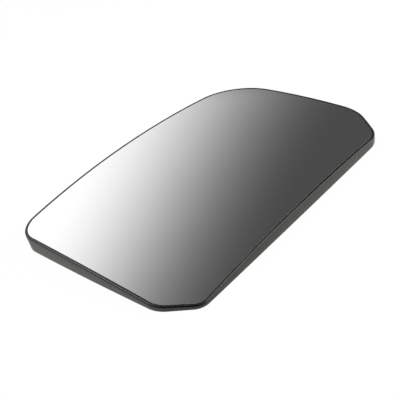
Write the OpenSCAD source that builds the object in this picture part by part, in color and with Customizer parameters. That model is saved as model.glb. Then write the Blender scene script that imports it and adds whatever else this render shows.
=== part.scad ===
// Door mirror glass: a convex six-sided glass bonded into a moulded backing plate.
// The plate rests on the foot of its skirt, z = 0. X runs along the long sides,
// Y towards the far long side. The origin lies on the axis of the actuator socket.

/* [Outline] */
// Overall length along the long sides
plate_l = 240; // [220:1:260]
// Overall width across the long sides
plate_w = 161.5; // [150:0.5:175]
// How far the far long side bulges beyond its corners
far_crown = 7; // [2:0.5:10]
// How far the right-hand short side bulges
right_crown = 2.2; // [0.5:0.1:4]
// How far the near long side bulges
near_crown = 0.3; // [0.2:0.1:3]
// How far the left-hand short side bulges
left_crown = 0.7; // [0.2:0.1:3]
// How far each corner cut bulges
cut_crown = 0.3; // [0.1:0.1:1]
// Length of the right-hand corner cut along the near side
right_cut_x = 28; // [22:0.5:34]
// Length of the right-hand corner cut along the short side
right_cut_y = 31; // [24:0.5:36]
// Length of the left-hand corner cut along the near side
left_cut_x = 15.5; // [12:0.5:22]
// Length of the left-hand corner cut along the short side
left_cut_y = 22; // [16:0.5:28]
// Corner radius, far left
far_left_r = 19; // [12:0.5:30]
// Corner radius, far right
far_right_r = 42; // [25:0.5:50]
// Radius where the left side meets its corner cut
left_upper_r = 20; // [8:0.5:26]
// Radius where the left corner cut meets the near side
left_lower_r = 10.5; // [6:0.5:16]
// Radius where the near side meets the right corner cut
right_lower_r = 24.5; // [10:0.5:32]
// Radius where the right corner cut meets the right side
right_upper_r = 37; // [16:0.5:42]

/* [Mirror glass] */
// Radius of curvature of the convex glass
glass_radius = 1200; // [1000:50:1800]
// Thickness of the glass
glass_t = 1.9; // [1.6:0.1:2.3]
// Highest point of the glass, along X
apex_x = 12.5; // [0:0.5:25]
// Highest point of the glass, along Y
apex_y = 76.5; // [70:0.5:80]
// Height of the glass there above the foot of the skirt
apex_h = 18.4; // [18:0.1:24]
// Gap between the glass and the lip around it
glass_gap = 0.2; // [0.1:0.05:0.4]

/* [Heater pad] */
// Thickness of the self-adhesive heater pad
pad_t = 0.4; // [0.3:0.05:0.6]
// Thickness of the bond line on each face of the pad
bond_t = 0.1; // [0.05:0.05:0.2]
// Distance from the edge of the glass to the edge of the pad
pad_margin = 6; // [4:0.5:12]
// Clearance around the pad in its recess
pad_gap = 0.3; // [0.2:0.1:0.6]

/* [Backing plate] */
// Width of the lip around the glass
lip_w = 1.8; // [1.4:0.1:2.4]
// Height of the lip above the glass
lip_h = 0.3; // [0.1:0.05:0.5]
// Radius with which the lip rolls over into the skirt
lip_round = 0.8; // [0.6:0.1:1.5]
// Break of the lip's inner edge
lip_break = 0.1; // [0.05:0.05:0.2]
// Wall of the skirt
skirt_t = 1.9; // [1.5:0.1:2.2]
// How far the skirt draws in from its top to its foot
skirt_draft = 0.15; // [0.05:0.05:0.4]
// Rounding of the foot's outer edge
foot_round = 0.5; // [0.2:0.1:0.8]
// Thickness of the floor under the pad
floor_t = 2; // [1.6:0.1:2.4]
// Thickness of the ribs
rib_t = 1.4; // [1:0.1:1.8]
// Height of the ribs below the floor
rib_h = 2.75; // [2:0.25:4]
// Number of radial ribs
rib_count = 12; // [8:4:16]
// Radii of the ring ribs
ring_ribs = [54, 72];

/* [Actuator socket] */
// Radius through the hooks of the snap fingers
hook_r = 30; // [28:0.5:33]
// How far the hooks stand in from the fingers
hook_in = 1.4; // [1:0.1:1.8]
// Length of the hooks' straight land
hook_land = 2; // [1.5:0.25:3]
// Wall of the fingers
finger_t = 2.2; // [1.8:0.1:2.6]
// Number of snap fingers
finger_count = 8; // [6:2:10]
// Width of the slots between the fingers
slot_w = 2.6; // [2:0.2:3.2]
// Width of the two slots that key the actuator
key_w = 5; // [4:0.5:6]
// Height of the fingers' ends above the foot
socket_z = 1; // [0.6:0.1:1.6]
// Outer radius of the seat that the drive plate bears on
seat_r = 24; // [20:0.5:26]
// Width of that seat
seat_w = 2.4; // [1.6:0.2:3.2]
// Height of that seat above the foot
seat_z = 8; // [7:0.25:9]

/* [Heater terminals] */
// Place of the terminals along X
term_x = 44; // [42:0.5:45]
// Distance of each terminal from the X axis
term_y = 12; // [11:0.5:14]
// Width of the spade
spade_w = 6.3; // [4.8:0.1:6.3]
// Thickness of the sheet
spade_t = 0.8; // [0.6:0.1:1]
// Length of the spade below its bend
spade_l = 8; // [6.5:0.25:8.5]
// Length of the flat base that is riveted to the pad
base_l = 10; // [9:0.5:11]
// Clearance around the base in its window
window_gap = 1.5; // [1:0.1:2]
// Radius of the rivet's shank
rivet_r = 1.4; // [1.2:0.1:1.6]
// Radius of the rivet's head
rivet_head_r = 2.5; // [2.2:0.1:2.8]

/* [Hidden] */

// Angle between points on a corner, and distance between points on a side
corner_step = 5;
side_step = 16;
// Depths of the layers below the glass surface
pad_top = glass_t + bond_t;
pad_low = pad_top + pad_t;
floor_top = pad_low + bond_t;
floor_low = floor_top + floor_t;
// Distances in from the outer edge
glass_in = lip_w + glass_gap;
pad_in = glass_in + pad_margin;
floor_in = lip_w / 2;
// Least height of the skirt, where the rim comes down to the foot
skirt_least = 0.4;
// Depth to which the rim runs down into the floor
rim_root = glass_t + (floor_low - glass_t) / 4;
skirt_root = glass_t + (floor_low - glass_t) / 2;
// Socket wall behind the hooks, and the slopes of the hooks
socket_r = hook_r + hook_in;
hook_lead = 1.2;
hook_back = 0.7;
slot_z = 3.5;
// Depth of the flat bases, whose corners touch the curved back of the pad
base_depth = pad_low + (base_l * base_l + spade_w * spade_w) / 8 / glass_radius;
rivet_bore_r = rivet_r / 2;
rivet_head_t = 0.5;
rivet_clear = 0.05;
spade_bend = 1.2;
spade_tip = 1.2;
spade_hole_r = 0.9;
overlap = 1;
above = apex_h + 4;
dome_fn = 256;
round_fn = 96;

glass_colour = [0.62, 0.64, 0.66];
plastic_colour = [0.13, 0.13, 0.13];
pad_colour = [0.75, 0.45, 0.2];
metal_colour = [0.78, 0.74, 0.6];

// Height of the glass surface over a point
function dome_z(p) = apex_h - glass_radius
    + sqrt(glass_radius * glass_radius - pow(p.x - apex_x, 2) - pow(p.y - apex_y, 2));

// Corners of the outline before rounding, anticlockwise from the far left
x_left = -plate_l / 2 + left_crown;
x_right = plate_l / 2 - right_crown;
y_far = plate_w / 2 - far_crown;
y_near = -plate_w / 2 + near_crown;
corners = [
    [x_left, y_far],
    [x_left, y_near + left_cut_y],
    [x_left + left_cut_x, y_near],
    [x_right - right_cut_x, y_near],
    [x_right, y_near + right_cut_y],
    [x_right, y_far]
];
corner_r = [far_left_r, left_upper_r, left_lower_r, right_lower_r, right_upper_r, far_right_r];
crowns = [left_crown, cut_crown, near_crown, cut_crown, right_crown, far_crown];
last = len(corners) - 1;
function after(i) = i == last ? 0 : i + 1;
function before(i) = i == 0 ? last : i - 1;

// Circle through p and q that bulges by s to the right of the way from p to q
function side_radius(p, q, s) = (pow(norm(q - p), 2) / 4 + s * s) / (2 * s);
function side_centre(p, q, s) =
    (p + q) / 2 - [q.y - p.y, p.x - q.x] / norm(q - p) * (side_radius(p, q, s) - s);
side_c = [for (i = [0:last]) side_centre(corners[i], corners[after(i)], crowns[i])];
side_r = [for (i = [0:last]) side_radius(corners[i], corners[after(i)], crowns[i])];

// Point where two circles cross, on the side of a given point
function crossing(c1, r1, c2, r2, near) =
    let (d = norm(c2 - c1), u = (c2 - c1) / d)
    let (a = (r1 * r1 - r2 * r2 + d * d) / (2 * d), h = sqrt(max(0, r1 * r1 - a * a)))
    let (m = c1 + u * a, n = [-u.y, u.x] * h)
    norm(m + n - near) < norm(m - n - near) ? m + n : m - n;

// Centres of the corner arcs, each touching its two sides from within
corner_c = [for (i = [0:last]) let (b = before(i))
    crossing(side_c[b], side_r[b] - corner_r[i], side_c[i], side_r[i] - corner_r[i], corners[i])];

// Direction from a to b in degrees, and the turn between two directions
function heading(a, b) = atan2(b.y - a.y, b.x - a.x);
function turn(a, b) = (b - a + 540) % 360 - 180;

// Arc about c, with both of its ends if whole is true, else neither
function arc(c, r, a, b, n, whole) =
    [for (k = [whole ? 0 : 1 : whole ? n : n - 1])
        let (t = a + turn(a, b) * k / n) c + r * [cos(t), sin(t)]];

// The outline, set in by a distance, with the same number of points at any distance
function corner_arc(i, inset) =
    let (b = before(i), a0 = heading(side_c[b], corner_c[i]), a1 = heading(side_c[i], corner_c[i]))
    arc(corner_c[i], corner_r[i] - inset, a0, a1, ceil(abs(turn(a0, a1)) / corner_step), true);
function side_arc(i, inset) =
    let (a0 = heading(side_c[i], corner_c[i]), a1 = heading(side_c[i], corner_c[after(i)]))
    let (length = side_r[i] * abs(turn(a0, a1)) * PI / 180)
    arc(side_c[i], side_r[i] - inset, a0, a1, max(1, ceil(length / side_step)), false);
function outline(inset) = [for (i = [0:last]) each concat(corner_arc(i, inset), side_arc(i, inset))];

// Prism of the outline, from the foot up past the glass
module prism(inset) {
    linear_extrude(height = above)
        polygon(outline(inset));
}

// Everything below the glass surface moved down by a depth
module dome(depth) {
    translate([apex_x, apex_y, apex_h - glass_radius])
        sphere(r = glass_radius - depth, $fn = dome_fn);
}

// Layer of the dome between two depths
module layer(top, low) {
    difference() {
        dome(top);
        dome(low);
    }
}

// Puts its children on the dome at a depth, square to it
module on_dome(x, y, depth) {
    n = [x - apex_x, y - apex_y, dome_z([x, y]) - apex_h + glass_radius] / glass_radius;
    translate([apex_x, apex_y, apex_h - glass_radius] + n * (glass_radius - depth))
        rotate([-asin(n.y), atan2(n.x, n.z), 0])
            children();
}

module mirror_glass() {
    color(glass_colour)
        intersection() {
            prism(glass_in);
            layer(0, glass_t);
        }
}

module heater_pad() {
    color(pad_colour)
        difference() {
            intersection() {
                prism(pad_in);
                layer(pad_top, pad_low);
            }
            for (side = [-1, 1])
                on_dome(term_x, side * term_y, base_depth)
                    translate([-base_l / 4, 0, 0])
                        cylinder(r = rivet_r + rivet_clear, h = 4 * pad_t, center = true, $fn = round_fn);
        }
}

// Section of the rim, anticlockwise: distance in from the edge, height above the glass surface.
// The foot points have their height in place of the second value, and 0 as the third.
rim_section = [
    [lip_w, -rim_root, 1],
    [lip_w, lip_h - lip_break, 1],
    [lip_w - lip_break, lip_h, 1],
    for (t = [0:15:90])
        [lip_round * (1 - sin(t)), lip_h - lip_round * (1 - cos(t)), 1],
    for (t = [0:30:90])
        [skirt_draft + foot_round * (1 - cos(t)), foot_round * (1 - sin(t)), 0],
    [skirt_draft + skirt_t, 0, 0],
    [skirt_t, -skirt_root, 1]
];

// Lip and skirt in one, lofted around the outline along the edge of the dome
module rim() {
    rings = [for (s = rim_section) [for (p = outline(s[0]))
        [p.x, p.y, s[2] == 0 ? s[1] : max(dome_z(p) + s[1], skirt_least)]]];
    n = len(rings[0]);
    m = len(rings);
    faces = [for (i = [0:m - 1], j = [0:n - 1])
        let (a = i * n + j, b = i * n + (j + 1) % n, c = (i + 1) % m * n + (j + 1) % n, d = (i + 1) % m * n + j)
        each [[a, b, c], [a, c, d]]];
    polyhedron(points = [for (r = rings) each r], faces = faces);
}

// Floor that follows the glass, with a recess for the pad
module plate_floor() {
    difference() {
        intersection() {
            prism(floor_in);
            layer(glass_t, floor_low);
        }
        intersection() {
            prism(pad_in - pad_gap);
            layer(glass_t - overlap, floor_top);
        }
    }
}

// Round socket whose snap fingers grip the actuator's drive plate
module actuator_socket() {
    difference() {
        intersection() {
            rotate_extrude($fn = round_fn)
                polygon([
                    [socket_r, above],
                    [socket_r, socket_z + hook_lead + hook_land + hook_back],
                    [hook_r, socket_z + hook_lead + hook_land],
                    [hook_r, socket_z + hook_lead],
                    [hook_r + hook_in / 2, socket_z],
                    [socket_r + finger_t, socket_z],
                    [socket_r + finger_t, above]
                ]);
            dome(floor_low - overlap);
        }
        for (k = [0:finger_count - 1])
            rotate(k * 360 / finger_count)
                finger_slot(k % (finger_count / 2) == 0 ? key_w : slot_w);
    }
}

// Slot from the fingers' ends to short of the floor
module finger_slot(width) {
    translate([hook_r - overlap, -width / 2, 0])
        cube([hook_in + finger_t + 2 * overlap, width, dome_z([0, 0]) - floor_low - slot_z]);
}

// Flat ring that the drive plate bears on
module actuator_seat() {
    intersection() {
        difference() {
            translate([0, 0, seat_z])
                cylinder(r = seat_r, h = above, $fn = round_fn);
            cylinder(r = seat_r - seat_w, h = 2 * above, $fn = round_fn);
        }
        dome(floor_low - overlap);
    }
}

// Radial and ring ribs, of one height all over the domed floor
module ribs() {
    intersection() {
        layer(floor_low - overlap, floor_low + rib_h);
        translate([0, 0, socket_z])
            prism(skirt_t / 2);
        union() {
            for (k = [0:rib_count - 1])
                rotate(k * 360 / rib_count)
                    translate([socket_r + finger_t / 2, -rib_t / 2, 0])
                        cube([plate_l, rib_t, above]);
            for (r = ring_ribs)
                difference() {
                    cylinder(r = r + rib_t / 2, h = above, $fn = round_fn);
                    translate([0, 0, -overlap])
                        cylinder(r = r - rib_t / 2, h = above + 2 * overlap, $fn = round_fn);
                }
        }
    }
}

// Window that leaves the base of a terminal free
module terminal_window(side) {
    on_dome(term_x, side * term_y, floor_top)
        translate([-base_l / 2 - window_gap, -spade_w / 2 - window_gap, -floor_t - rib_h - overlap])
            cube([base_l + 2 * window_gap, spade_w + 2 * window_gap, floor_t + rib_h + 2 * overlap]);
}

module backing_plate() {
    color(plastic_colour)
        difference() {
            union() {
                rim();
                plate_floor();
                actuator_socket();
                actuator_seat();
                ribs();
            }
            for (side = [-1, 1])
                terminal_window(side);
        }
}

// Sheet-metal spade: a base flat on the pad, a bend, and a tapered tongue with a detent hole
module terminal(side) {
    color(metal_colour)
        on_dome(term_x, side * term_y, base_depth)
            difference() {
                union() {
                    translate([-base_l / 2, -spade_w / 2, -spade_t])
                        cube([base_l - spade_bend, spade_w, spade_t]);
                    translate([base_l / 2 - spade_bend, spade_w / 2, -spade_bend])
                        rotate([90, 0, 0])
                            bend(spade_bend, spade_bend - spade_t, spade_w);
                    translate([base_l / 2, 0, -spade_bend])
                        rotate([0, -90, 0])
                            linear_extrude(height = spade_t)
                                tongue(spade_l - spade_bend);
                }
                translate([-base_l / 4, 0, -2 * spade_t])
                    cylinder(r = rivet_r + rivet_clear, h = 4 * spade_t, $fn = round_fn);
            }
}

// Quarter ring about the Z axis, from the X axis to the Y axis
module bend(outer, inner, height) {
    intersection() {
        difference() {
            cylinder(r = outer, h = height, $fn = round_fn);
            translate([0, 0, -overlap])
                cylinder(r = inner, h = height + 2 * overlap, $fn = round_fn);
        }
        cube([outer + overlap, outer + overlap, height]);
    }
}

// Outline of the tongue, pointing along -X from the origin
module tongue(length) {
    difference() {
        polygon([
            [0, spade_w / 2],
            [-length + spade_tip, spade_w / 2],
            [-length, spade_w / 2 - spade_tip],
            [-length, -spade_w / 2 + spade_tip],
            [-length + spade_tip, -spade_w / 2],
            [0, -spade_w / 2]
        ]);
        translate([-length / 2, 0])
            circle(r = spade_hole_r, $fn = round_fn);
    }
}

module left_terminal() {
    terminal(1);
}

module right_terminal() {
    terminal(-1);
}

// Hollow rivets that clamp the terminals to the pad
module terminal_rivets() {
    color(metal_colour)
        for (side = [-1, 1])
            on_dome(term_x, side * term_y, base_depth)
                translate([-base_l / 4, 0, 0])
                    rotate_extrude($fn = round_fn)
                        polygon([
                            [rivet_bore_r, -spade_t - rivet_head_t],
                            [rivet_head_r - rivet_head_t, -spade_t - rivet_head_t],
                            [rivet_head_r, -spade_t],
                            [rivet_r, -spade_t],
                            [rivet_r, pad_t - rivet_clear],
                            [rivet_bore_r, pad_t - rivet_clear]
                        ]);
}

mirror_glass();
heater_pad();
backing_plate();
left_terminal();
right_terminal();
terminal_rivets();
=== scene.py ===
"""Looks of a heated door mirror glass: a silvered convex glass in a black moulded backing plate."""
import math
import bmesh
import bpy
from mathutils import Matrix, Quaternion, Vector


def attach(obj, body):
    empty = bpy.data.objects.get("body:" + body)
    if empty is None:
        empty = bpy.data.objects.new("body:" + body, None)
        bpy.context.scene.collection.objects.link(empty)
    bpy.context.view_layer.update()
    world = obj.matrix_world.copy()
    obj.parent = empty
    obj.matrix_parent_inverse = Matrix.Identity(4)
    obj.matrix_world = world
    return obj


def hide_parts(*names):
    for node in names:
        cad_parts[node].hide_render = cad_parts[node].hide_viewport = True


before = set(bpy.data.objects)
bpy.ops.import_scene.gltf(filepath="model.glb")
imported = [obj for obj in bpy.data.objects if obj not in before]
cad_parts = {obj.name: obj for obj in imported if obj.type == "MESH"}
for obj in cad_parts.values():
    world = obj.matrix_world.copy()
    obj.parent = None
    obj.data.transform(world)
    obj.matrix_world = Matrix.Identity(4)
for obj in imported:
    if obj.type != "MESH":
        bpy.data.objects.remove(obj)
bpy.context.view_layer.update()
MM = 0.001

# The dome that the glass, the pad and the floor of the plate all follow
DOME_RADIUS = 1200 * MM
DOME_APEX = Vector((12.5, 76.5, 18.4)) * MM
DOME_CENTRE = DOME_APEX - Vector((0, 0, DOME_RADIUS))
# Least cosine between a face and the dome at which the face is shaded as a part of the dome
DOME_COSINE = 0.998
# Depth below the glass surface at which the smooth lip ends and the grained skirt begins
# Above this depth the lip is drawn a darker black than the skirt: painted shade
LIP_DEPTH = 0.2 * MM
# The arris ground on the edges of the glass: width, steps, and least angle of an edge in degrees
ARRIS_WIDTH = 0.12 * MM
ARRIS_STEPS = 2
ARRIS_ANGLE = 40
# Least cosine between the vertical and a face that belongs to the front or the back of the glass
PANE_COSINE = 0.9
# Angle in degrees at which the shading breaks, and distance within which corners of triangles are one
CREASE_ANGLE = 35
JOIN_DISTANCE = 0.002 * MM

# The camera of the photograph: its place, the point it looks at, its roll in degrees and its lens
CAMERA_PLACE = Vector((-258.63, -273.03, 222.21)) * MM
CAMERA_AIM = Vector((-32.75, -17.68, 9.0)) * MM
CAMERA_ROLL = -13.483
CAMERA_LENS = 54.9

# The lamps: each one's name, place in metres and power, and the width of both
LAMPS = (
    ("back_softbox", (-0.66, 0.92, 0.74), 8),
    ("side_softbox", (0.80, -0.85, 0.60), 16),
)
LAMP_WIDTH = 0.9

# What the glass mirrors: the bright side of the studio, and how it fades to the dark side
GLOW_AXIS = (-0.1695, 0.9855, -0.0057)
GLOW_EDGE = 0.238
GLOW_HEART = 0.734
DARK_LEVEL = 73.7 / 255
# The fade is given in the levels of the picture, which this gamma turns into light
PICTURE_GAMMA = 2.2
# How the room darkens towards the table, by the sine of the height above it
ROOM_EDGE = 0.10
ROOM_HEART = 0.36
ROOM_LEVEL = 0.1
# What only the plate mirrors in the photograph: a softbox behind the object, one over its near side,
# a panel low down on the near right and a faint one at the right end, each as its axis, the cosines
# of its edge and of its heart, and its level
SOFTBOXES = (
    ((-0.14, 0.58, 0.80), 0.955, 0.988, 8.0),
    ((0.42, 0.02, 0.91), 0.957, 0.985, 5.0),
    ((0.58, -0.74, 0.34), 0.780, 0.920, 3.5),
    ((0.97, 0.18, 0.12), 0.920, 0.980, 0.7),
)
# Levels of the world as matt surfaces, the camera and glossy surfaces see it
AMBIENT_LEVEL = 0.6
BACKDROP_LEVEL = 1.0
MIRRORED_LEVEL = 1.086

# Reach of the paper, and the shares of pure white in what the camera and reflections see of it
PAPER_REACH = 3.0
PAPER_SEEN = 0.97
PAPER_MIRRORED = 0.7


def linear(code):
    """Linear colour of an sRGB hex value."""
    parts = [int(code[i:i + 2], 16) / 255 for i in (0, 2, 4)]
    return [p / 12.92 if p <= 0.04045 else ((p + 0.055) / 1.055) ** 2.4 for p in parts] + [1]


def every(size):
    """Scale at which a pattern has one patch or streak in so many millimetres."""
    return 1 / (size * MM)


def add(tree, kind, settings=None, links=None):
    """Adds a node to a tree, with its settings by attribute, and its inputs as values or sockets."""
    node = tree.nodes.new(kind)
    for name, value in (settings or {}).items():
        setattr(node, name, value)
    for name, value in (links or {}).items():
        if isinstance(value, bpy.types.NodeSocket):
            tree.links.new(value, node.inputs[name])
        else:
            node.inputs[name].default_value = value
    return node


def new_material(name):
    """A material with an empty node tree."""
    material = bpy.data.materials.new(name)
    material.use_nodes = True
    material.node_tree.nodes.clear()
    return material, material.node_tree


def finish_surface(tree, shader):
    """Links a shader to the material's output."""
    add(tree, "ShaderNodeOutputMaterial", links={"Surface": shader.outputs[0]})


def silvered_glass():
    """Float glass bent to a dome and silvered behind: a sharp neutral mirror with a trace of haze."""
    material, tree = new_material("silvered_float_glass")
    where = add(tree, "ShaderNodeTexCoord")
    haze = add(tree, "ShaderNodeTexNoise", links={
        "Vector": where.outputs["Object"], "Scale": every(35.7), "Detail": 3.0, "Distortion": 0.6})
    rough = add(tree, "ShaderNodeMapRange", links={
        "Value": haze.outputs[0], "From Min": 0.4, "From Max": 0.75, "To Min": 0.0, "To Max": 0.02})
    shader = add(tree, "ShaderNodeBsdfPrincipled", links={
        "Base Color": linear("FBFBFB"), "Metallic": 1.0, "Roughness": rough.outputs[0]})
    finish_surface(tree, shader)
    return material


def ground_glass_edge():
    """Edge ground with a fine wheel: matt grey-green, with the wheel's faint lines along it."""
    material, tree = new_material("ground_glass_edge")
    where = add(tree, "ShaderNodeTexCoord")
    lines = add(tree, "ShaderNodeMapping", links={
        "Vector": where.outputs["Object"], "Scale": (every(3.33), every(3.33), every(0.167))})
    grit = add(tree, "ShaderNodeTexNoise", links={
        "Vector": lines.outputs[0], "Scale": 1.0, "Detail": 2.0})
    tone = add(tree, "ShaderNodeMix", {"data_type": "RGBA"}, {
        "Factor": grit.outputs[0], 6: linear("5F6B66"), 7: linear("8C9993")})
    bump = add(tree, "ShaderNodeBump", links={
        "Height": grit.outputs[0], "Distance": 0.02 * MM, "Strength": 0.5})
    shader = add(tree, "ShaderNodeBsdfPrincipled", links={
        "Base Color": tone.outputs[2], "Roughness": 0.5, "IOR": 1.52, "Normal": bump.outputs[0]})
    finish_surface(tree, shader)
    return material


def backing_paint():
    """Grey paint that seals the silver: flat, with the slight flow marks of a curtain coater."""
    material, tree = new_material("mirror_backing_paint")
    where = add(tree, "ShaderNodeTexCoord")
    flow = add(tree, "ShaderNodeTexNoise", links={
        "Vector": where.outputs["Object"], "Scale": every(11.1), "Detail": 2.0})
    tone = add(tree, "ShaderNodeMix", {"data_type": "RGBA"}, {
        "Factor": flow.outputs[0], 6: linear("6E7072"), 7: linear("7C7E80")})
    shader = add(tree, "ShaderNodeBsdfPrincipled", links={
        "Base Color": tone.outputs[2], "Roughness": 0.45})
    finish_surface(tree, shader)
    return material


def spark_grain_abs():
    """Black ABS from a spark-eroded mould: an even fine grain, which spreads what it reflects."""
    material, tree = new_material("abs_spark_eroded_grain")
    where = add(tree, "ShaderNodeTexCoord")
    # The real grain is about 0.15 mm, drawn four times as coarse so that it shows
    grain = add(tree, "ShaderNodeTexNoise", links={
        "Vector": where.outputs["Object"], "Scale": every(0.588), "Detail": 2.0, "Roughness": 0.6})
    cloud = add(tree, "ShaderNodeTexNoise", links={
        "Vector": where.outputs["Object"], "Scale": every(16.7), "Detail": 2.0})
    tone = add(tree, "ShaderNodeMix", {"data_type": "RGBA"}, {
        "Factor": cloud.outputs[0], 6: linear("24211A"), 7: linear("2A2720")})
    rough = add(tree, "ShaderNodeMapRange", links={
        "Value": grain.outputs[0], "From Min": 0.3, "From Max": 0.7, "To Min": 0.32, "To Max": 0.43})
    bump = add(tree, "ShaderNodeBump", links={
        "Height": grain.outputs[0], "Distance": 0.03 * MM, "Strength": 0.6})
    shader = add(tree, "ShaderNodeBsdfPrincipled", links={
        "Base Color": tone.outputs[2], "Roughness": rough.outputs[0], "IOR": 1.42,
        "Normal": bump.outputs[0]})
    finish_surface(tree, shader)
    return material


def polished_lip_abs_painted_shade():
    """Black ABS off a polished part of the mould: smooth, with fine rubbing marks, and painted shade as
    its darker black.
    """
    material, tree = new_material("abs_polished_lip_painted_shade")
    where = add(tree, "ShaderNodeTexCoord")
    marks = add(tree, "ShaderNodeTexNoise", links={
        "Vector": where.outputs["Object"], "Scale": every(2.5), "Detail": 3.0})
    rough = add(tree, "ShaderNodeMapRange", links={
        "Value": marks.outputs[0], "From Min": 0.3, "From Max": 0.7, "To Min": 0.20, "To Max": 0.29})
    shader = add(tree, "ShaderNodeBsdfPrincipled", links={
        # The lip's black is darker than the grain's: painted shade where the lip faces up
        "Base Color": linear("0E0E0E"), "Roughness": rough.outputs[0], "IOR": 1.40})
    finish_surface(tree, shader)
    return material


def heater_film():
    """Polyester heater film: brown and slightly glossy, with printed silver tracks across it."""
    material, tree = new_material("printed_polyester_film")
    where = add(tree, "ShaderNodeTexCoord")
    axis = add(tree, "ShaderNodeSeparateXYZ", links={"Vector": where.outputs["Object"]})
    # Tracks 1.4 mm wide, 4 mm apart
    pitch = add(tree, "ShaderNodeMath", {"operation": "PINGPONG"}, {0: axis.outputs["X"], 1: 2 * MM})
    track = add(tree, "ShaderNodeMath", {"operation": "LESS_THAN"}, {0: pitch.outputs[0], 1: 0.7 * MM})
    tone = add(tree, "ShaderNodeMix", {"data_type": "RGBA"}, {
        "Factor": track.outputs[0], 6: linear("4A3524"), 7: linear("9A9A98")})
    bump = add(tree, "ShaderNodeBump", links={
        "Height": track.outputs[0], "Distance": 0.03 * MM, "Strength": 0.5})
    shader = add(tree, "ShaderNodeBsdfPrincipled", links={
        "Base Color": tone.outputs[2], "Roughness": 0.35, "Normal": bump.outputs[0]})
    finish_surface(tree, shader)
    return material


def tinned_brass():
    """Stamped brass sheet with dull tin: pale warm metal with the streaks of the rolled strip."""
    material, tree = new_material("tinned_brass_sheet")
    where = add(tree, "ShaderNodeTexCoord")
    strip = add(tree, "ShaderNodeMapping", links={
        "Vector": where.outputs["Object"], "Scale": (every(0.4), every(5), every(5))})
    streaks = add(tree, "ShaderNodeTexNoise", links={
        "Vector": strip.outputs[0], "Scale": 1.0, "Detail": 3.0})
    tone = add(tree, "ShaderNodeMix", {"data_type": "RGBA"}, {
        "Factor": streaks.outputs[0], 6: linear("B9B29C"), 7: linear("D8D4C6")})
    rough = add(tree, "ShaderNodeMapRange", links={
        "Value": streaks.outputs[0], "From Min": 0.3, "From Max": 0.7, "To Min": 0.28, "To Max": 0.45})
    shader = add(tree, "ShaderNodeBsdfPrincipled", links={
        "Base Color": tone.outputs[2], "Metallic": 1.0, "Roughness": rough.outputs[0]})
    finish_surface(tree, shader)
    return material


def above_dome(point):
    """Height of a point over the glass surface, measured along Z."""
    flat = Vector((point.x - DOME_APEX.x, point.y - DOME_APEX.y))
    return point.z - DOME_CENTRE.z - math.sqrt(DOME_RADIUS ** 2 - flat.length_squared)


def merged_copy(node):
    """A bmesh of a CAD node's solid, with the corners of its triangles joined."""
    bm = bmesh.new()
    bm.from_mesh(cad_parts[node].data)
    bmesh.ops.remove_doubles(bm, verts=bm.verts, dist=JOIN_DISTANCE)
    return bm


def ease_edges(bm, width, angle, steps):
    """Rounds the edges at which two faces meet at more than an angle in degrees."""
    limit = math.radians(angle)
    sharp = [e for e in bm.edges if len(e.link_faces) == 2 and e.calc_face_angle(0) > limit]
    bmesh.ops.bevel(bm, geom=sharp, offset=width, offset_type="OFFSET", affect="EDGES",
                    segments=steps, profile=0.5, material=-1, clamp_overlap=False)


def shade_on_dome(mesh):
    """Gives the faces that lie on the dome or run parallel to it the dome's own normals."""
    normals = [n.vector.copy() for n in mesh.corner_normals]
    for face in mesh.polygons:
        out = (face.center - DOME_CENTRE).normalized()
        side = out.dot(face.normal)
        if abs(side) > DOME_COSINE:
            for corner in face.loop_indices:
                place = mesh.vertices[mesh.loops[corner].vertex_index].co
                normals[corner] = (place - DOME_CENTRE).normalized() * math.copysign(1, side)
    mesh.normals_split_custom_set(normals)


def make_piece(name, bm, node, finishes, pick):
    """Turns a bmesh into a piece that stands for a CAD node, each face with the finish picked for it."""
    for face in bm.faces:
        face.smooth = True
        face.material_index = pick(face)
    mesh = bpy.data.meshes.new(name)
    bm.to_mesh(mesh)
    bm.free()
    for stale in ("custom_normal", "sharp_edge", "sharp_face"):
        if stale in mesh.attributes:
            mesh.attributes.remove(mesh.attributes[stale])
    mesh.set_sharp_from_angle(angle=math.radians(CREASE_ANGLE))
    shade_on_dome(mesh)
    for finish in finishes:
        mesh.materials.append(finish)
    piece = bpy.data.objects.new(name, mesh)
    bpy.context.scene.collection.objects.link(piece)
    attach(piece, "root")
    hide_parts(node)


def build_glass():
    """The pane: silvered face, ground edge with a small arris, and painted back."""
    bm = merged_copy("mirror_glass")
    ease_edges(bm, ARRIS_WIDTH, ARRIS_ANGLE, ARRIS_STEPS)
    finishes = [silvered_glass(), ground_glass_edge(), backing_paint()]
    silver, ground, paint = range(len(finishes))

    def side(face):
        if face.normal.z > PANE_COSINE:
            return silver
        return paint if face.normal.z < -PANE_COSINE else ground

    make_piece("glass_pane", bm, "mirror_glass", finishes, side)


def build_plate():
    """The moulding: polished lip round the glass, with painted shade in its darker black, and grain
    everywhere else.
    """
    bm = merged_copy("backing_plate")
    finishes = [spark_grain_abs(), polished_lip_abs_painted_shade()]
    grained, polished = range(len(finishes))

    def finish(face):
        top = max(above_dome(v.co) for v in face.verts)
        # Faces high on the lip take the polished finish, whose darker black is painted shade
        return polished if top > -LIP_DEPTH else grained

    make_piece("backing_moulding", bm, "backing_plate", finishes, finish)


def assign(node, material):
    """Gives a CAD node that stays as it is its real material."""
    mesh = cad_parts[node].data
    mesh.materials.clear()
    mesh.materials.append(material)


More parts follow.
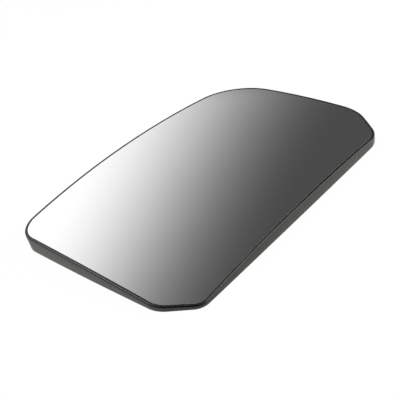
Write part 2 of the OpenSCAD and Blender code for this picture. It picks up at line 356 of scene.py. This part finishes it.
def studio_paper():
    """White paper: it takes the object's soft shadow, and the camera sees it close to pure white."""
    material, tree = new_material("studio_paper")
    diffuse = add(tree, "ShaderNodeBsdfDiffuse", links={"Color": linear("F6F6F6")})
    white = add(tree, "ShaderNodeEmission", links={"Color": linear("FFFFFF"), "Strength": 1.0})
    path = add(tree, "ShaderNodeLightPath")
    camera = add(tree, "ShaderNodeMath", {"operation": "MULTIPLY"}, {
        0: path.outputs["Is Camera Ray"], 1: PAPER_SEEN})
    share = add(tree, "ShaderNodeMath", {"operation": "MULTIPLY_ADD"}, {
        0: path.outputs["Is Glossy Ray"], 1: PAPER_MIRRORED, 2: camera.outputs[0]})
    mix = add(tree, "ShaderNodeMixShader", links={
        0: share.outputs[0], 1: diffuse.outputs[0], 2: white.outputs[0]})
    finish_surface(tree, mix)
    return material


def glow(tree, where, axis, edge, heart, low, high):
    """Light around an axis, from low at the cosine of its edge to high at that of its heart."""
    near = add(tree, "ShaderNodeVectorMath", {"operation": "DOT_PRODUCT"}, {
        0: where.outputs["Generated"], 1: axis})
    return add(tree, "ShaderNodeMapRange", {"interpolation_type": "SMOOTHSTEP"}, {
        "Value": near.outputs["Value"], "From Min": edge, "From Max": heart,
        "To Min": low, "To Max": high})


def build_world():
    """White round about for the camera, plain light for matt surfaces, and the studio for glossy ones."""
    world = bpy.data.worlds.new("studio")
    bpy.context.scene.world = world
    world.use_nodes = True
    tree = world.node_tree
    tree.nodes.clear()
    where = add(tree, "ShaderNodeTexCoord")
    fade = glow(tree, where, GLOW_AXIS, GLOW_EDGE, GLOW_HEART, DARK_LEVEL, 1.0)
    shade = add(tree, "ShaderNodeGamma", links={"Color": fade.outputs[0], "Gamma": PICTURE_GAMMA})
    height = glow(tree, where, (0, 0, 1), ROOM_EDGE, ROOM_HEART, ROOM_LEVEL, 1.0)
    lit = add(tree, "ShaderNodeMath", {"operation": "MULTIPLY"}, {
        0: shade.outputs[0], 1: height.outputs[0]})
    for axis, edge, heart, level in SOFTBOXES:
        box = glow(tree, where, axis, edge, heart, 0.0, level)
        lit = add(tree, "ShaderNodeMath", {"operation": "MAXIMUM"}, {
            0: lit.outputs[0], 1: box.outputs[0]})
    light = add(tree, "ShaderNodeBackground", links={
        "Color": linear("FFFFFF"), "Strength": AMBIENT_LEVEL})
    white = add(tree, "ShaderNodeBackground", links={
        "Color": linear("FFFFFF"), "Strength": BACKDROP_LEVEL})
    mirrored = add(tree, "ShaderNodeBackground", links={
        "Color": lit.outputs[0], "Strength": MIRRORED_LEVEL})
    path = add(tree, "ShaderNodeLightPath")
    seen = add(tree, "ShaderNodeMixShader", links={
        0: path.outputs["Is Camera Ray"], 1: light.outputs[0], 2: white.outputs[0]})
    both = add(tree, "ShaderNodeMixShader", links={
        0: path.outputs["Is Glossy Ray"], 1: seen.outputs[0], 2: mirrored.outputs[0]})
    add(tree, "ShaderNodeOutputWorld", links={"Surface": both.outputs[0]})


def build_floor():
    """The paper that the object stands on."""
    bm = bmesh.new()
    bmesh.ops.create_grid(bm, x_segments=1, y_segments=1, size=PAPER_REACH)
    mesh = bpy.data.meshes.new("studio_floor")
    bm.to_mesh(mesh)
    bm.free()
    mesh.materials.append(studio_paper())
    floor = bpy.data.objects.new("studio_floor", mesh)
    bpy.context.scene.collection.objects.link(floor)


def area_light(name, place, power):
    """A square lamp aimed at the object. Glossy surfaces see the softboxes of the world instead."""
    data = bpy.data.lights.new(name, "AREA")
    data.size = LAMP_WIDTH
    data.energy = power
    lamp = bpy.data.objects.new(name, data)
    bpy.context.scene.collection.objects.link(lamp)
    lamp.location = place
    lamp.rotation_mode = "QUATERNION"
    lamp.rotation_quaternion = (-Vector(place)).to_track_quat("-Z", "Y")
    lamp.visible_glossy = False


def build_camera():
    """The photograph's view of the object, from its near left corner."""
    data = bpy.data.cameras.new("camera")
    data.lens = CAMERA_LENS
    camera = bpy.data.objects.new("camera", data)
    bpy.context.scene.collection.objects.link(camera)
    gaze = (CAMERA_AIM - CAMERA_PLACE).to_track_quat("-Z", "Y")
    camera.location = CAMERA_PLACE
    camera.rotation_mode = "QUATERNION"
    camera.rotation_quaternion = gaze @ Quaternion((0, 0, 1), math.radians(CAMERA_ROLL))
    bpy.context.scene.camera = camera


bpy.context.scene.view_settings.view_transform = "Standard"
build_camera()
build_world()
build_floor()
for lamp in LAMPS:
    area_light(*lamp)

build_glass()
build_plate()
assign("heater_pad", heater_film())
brass = tinned_brass()
for node in ("left_terminal", "right_terminal", "terminal_rivets"):
    assign(node, brass)
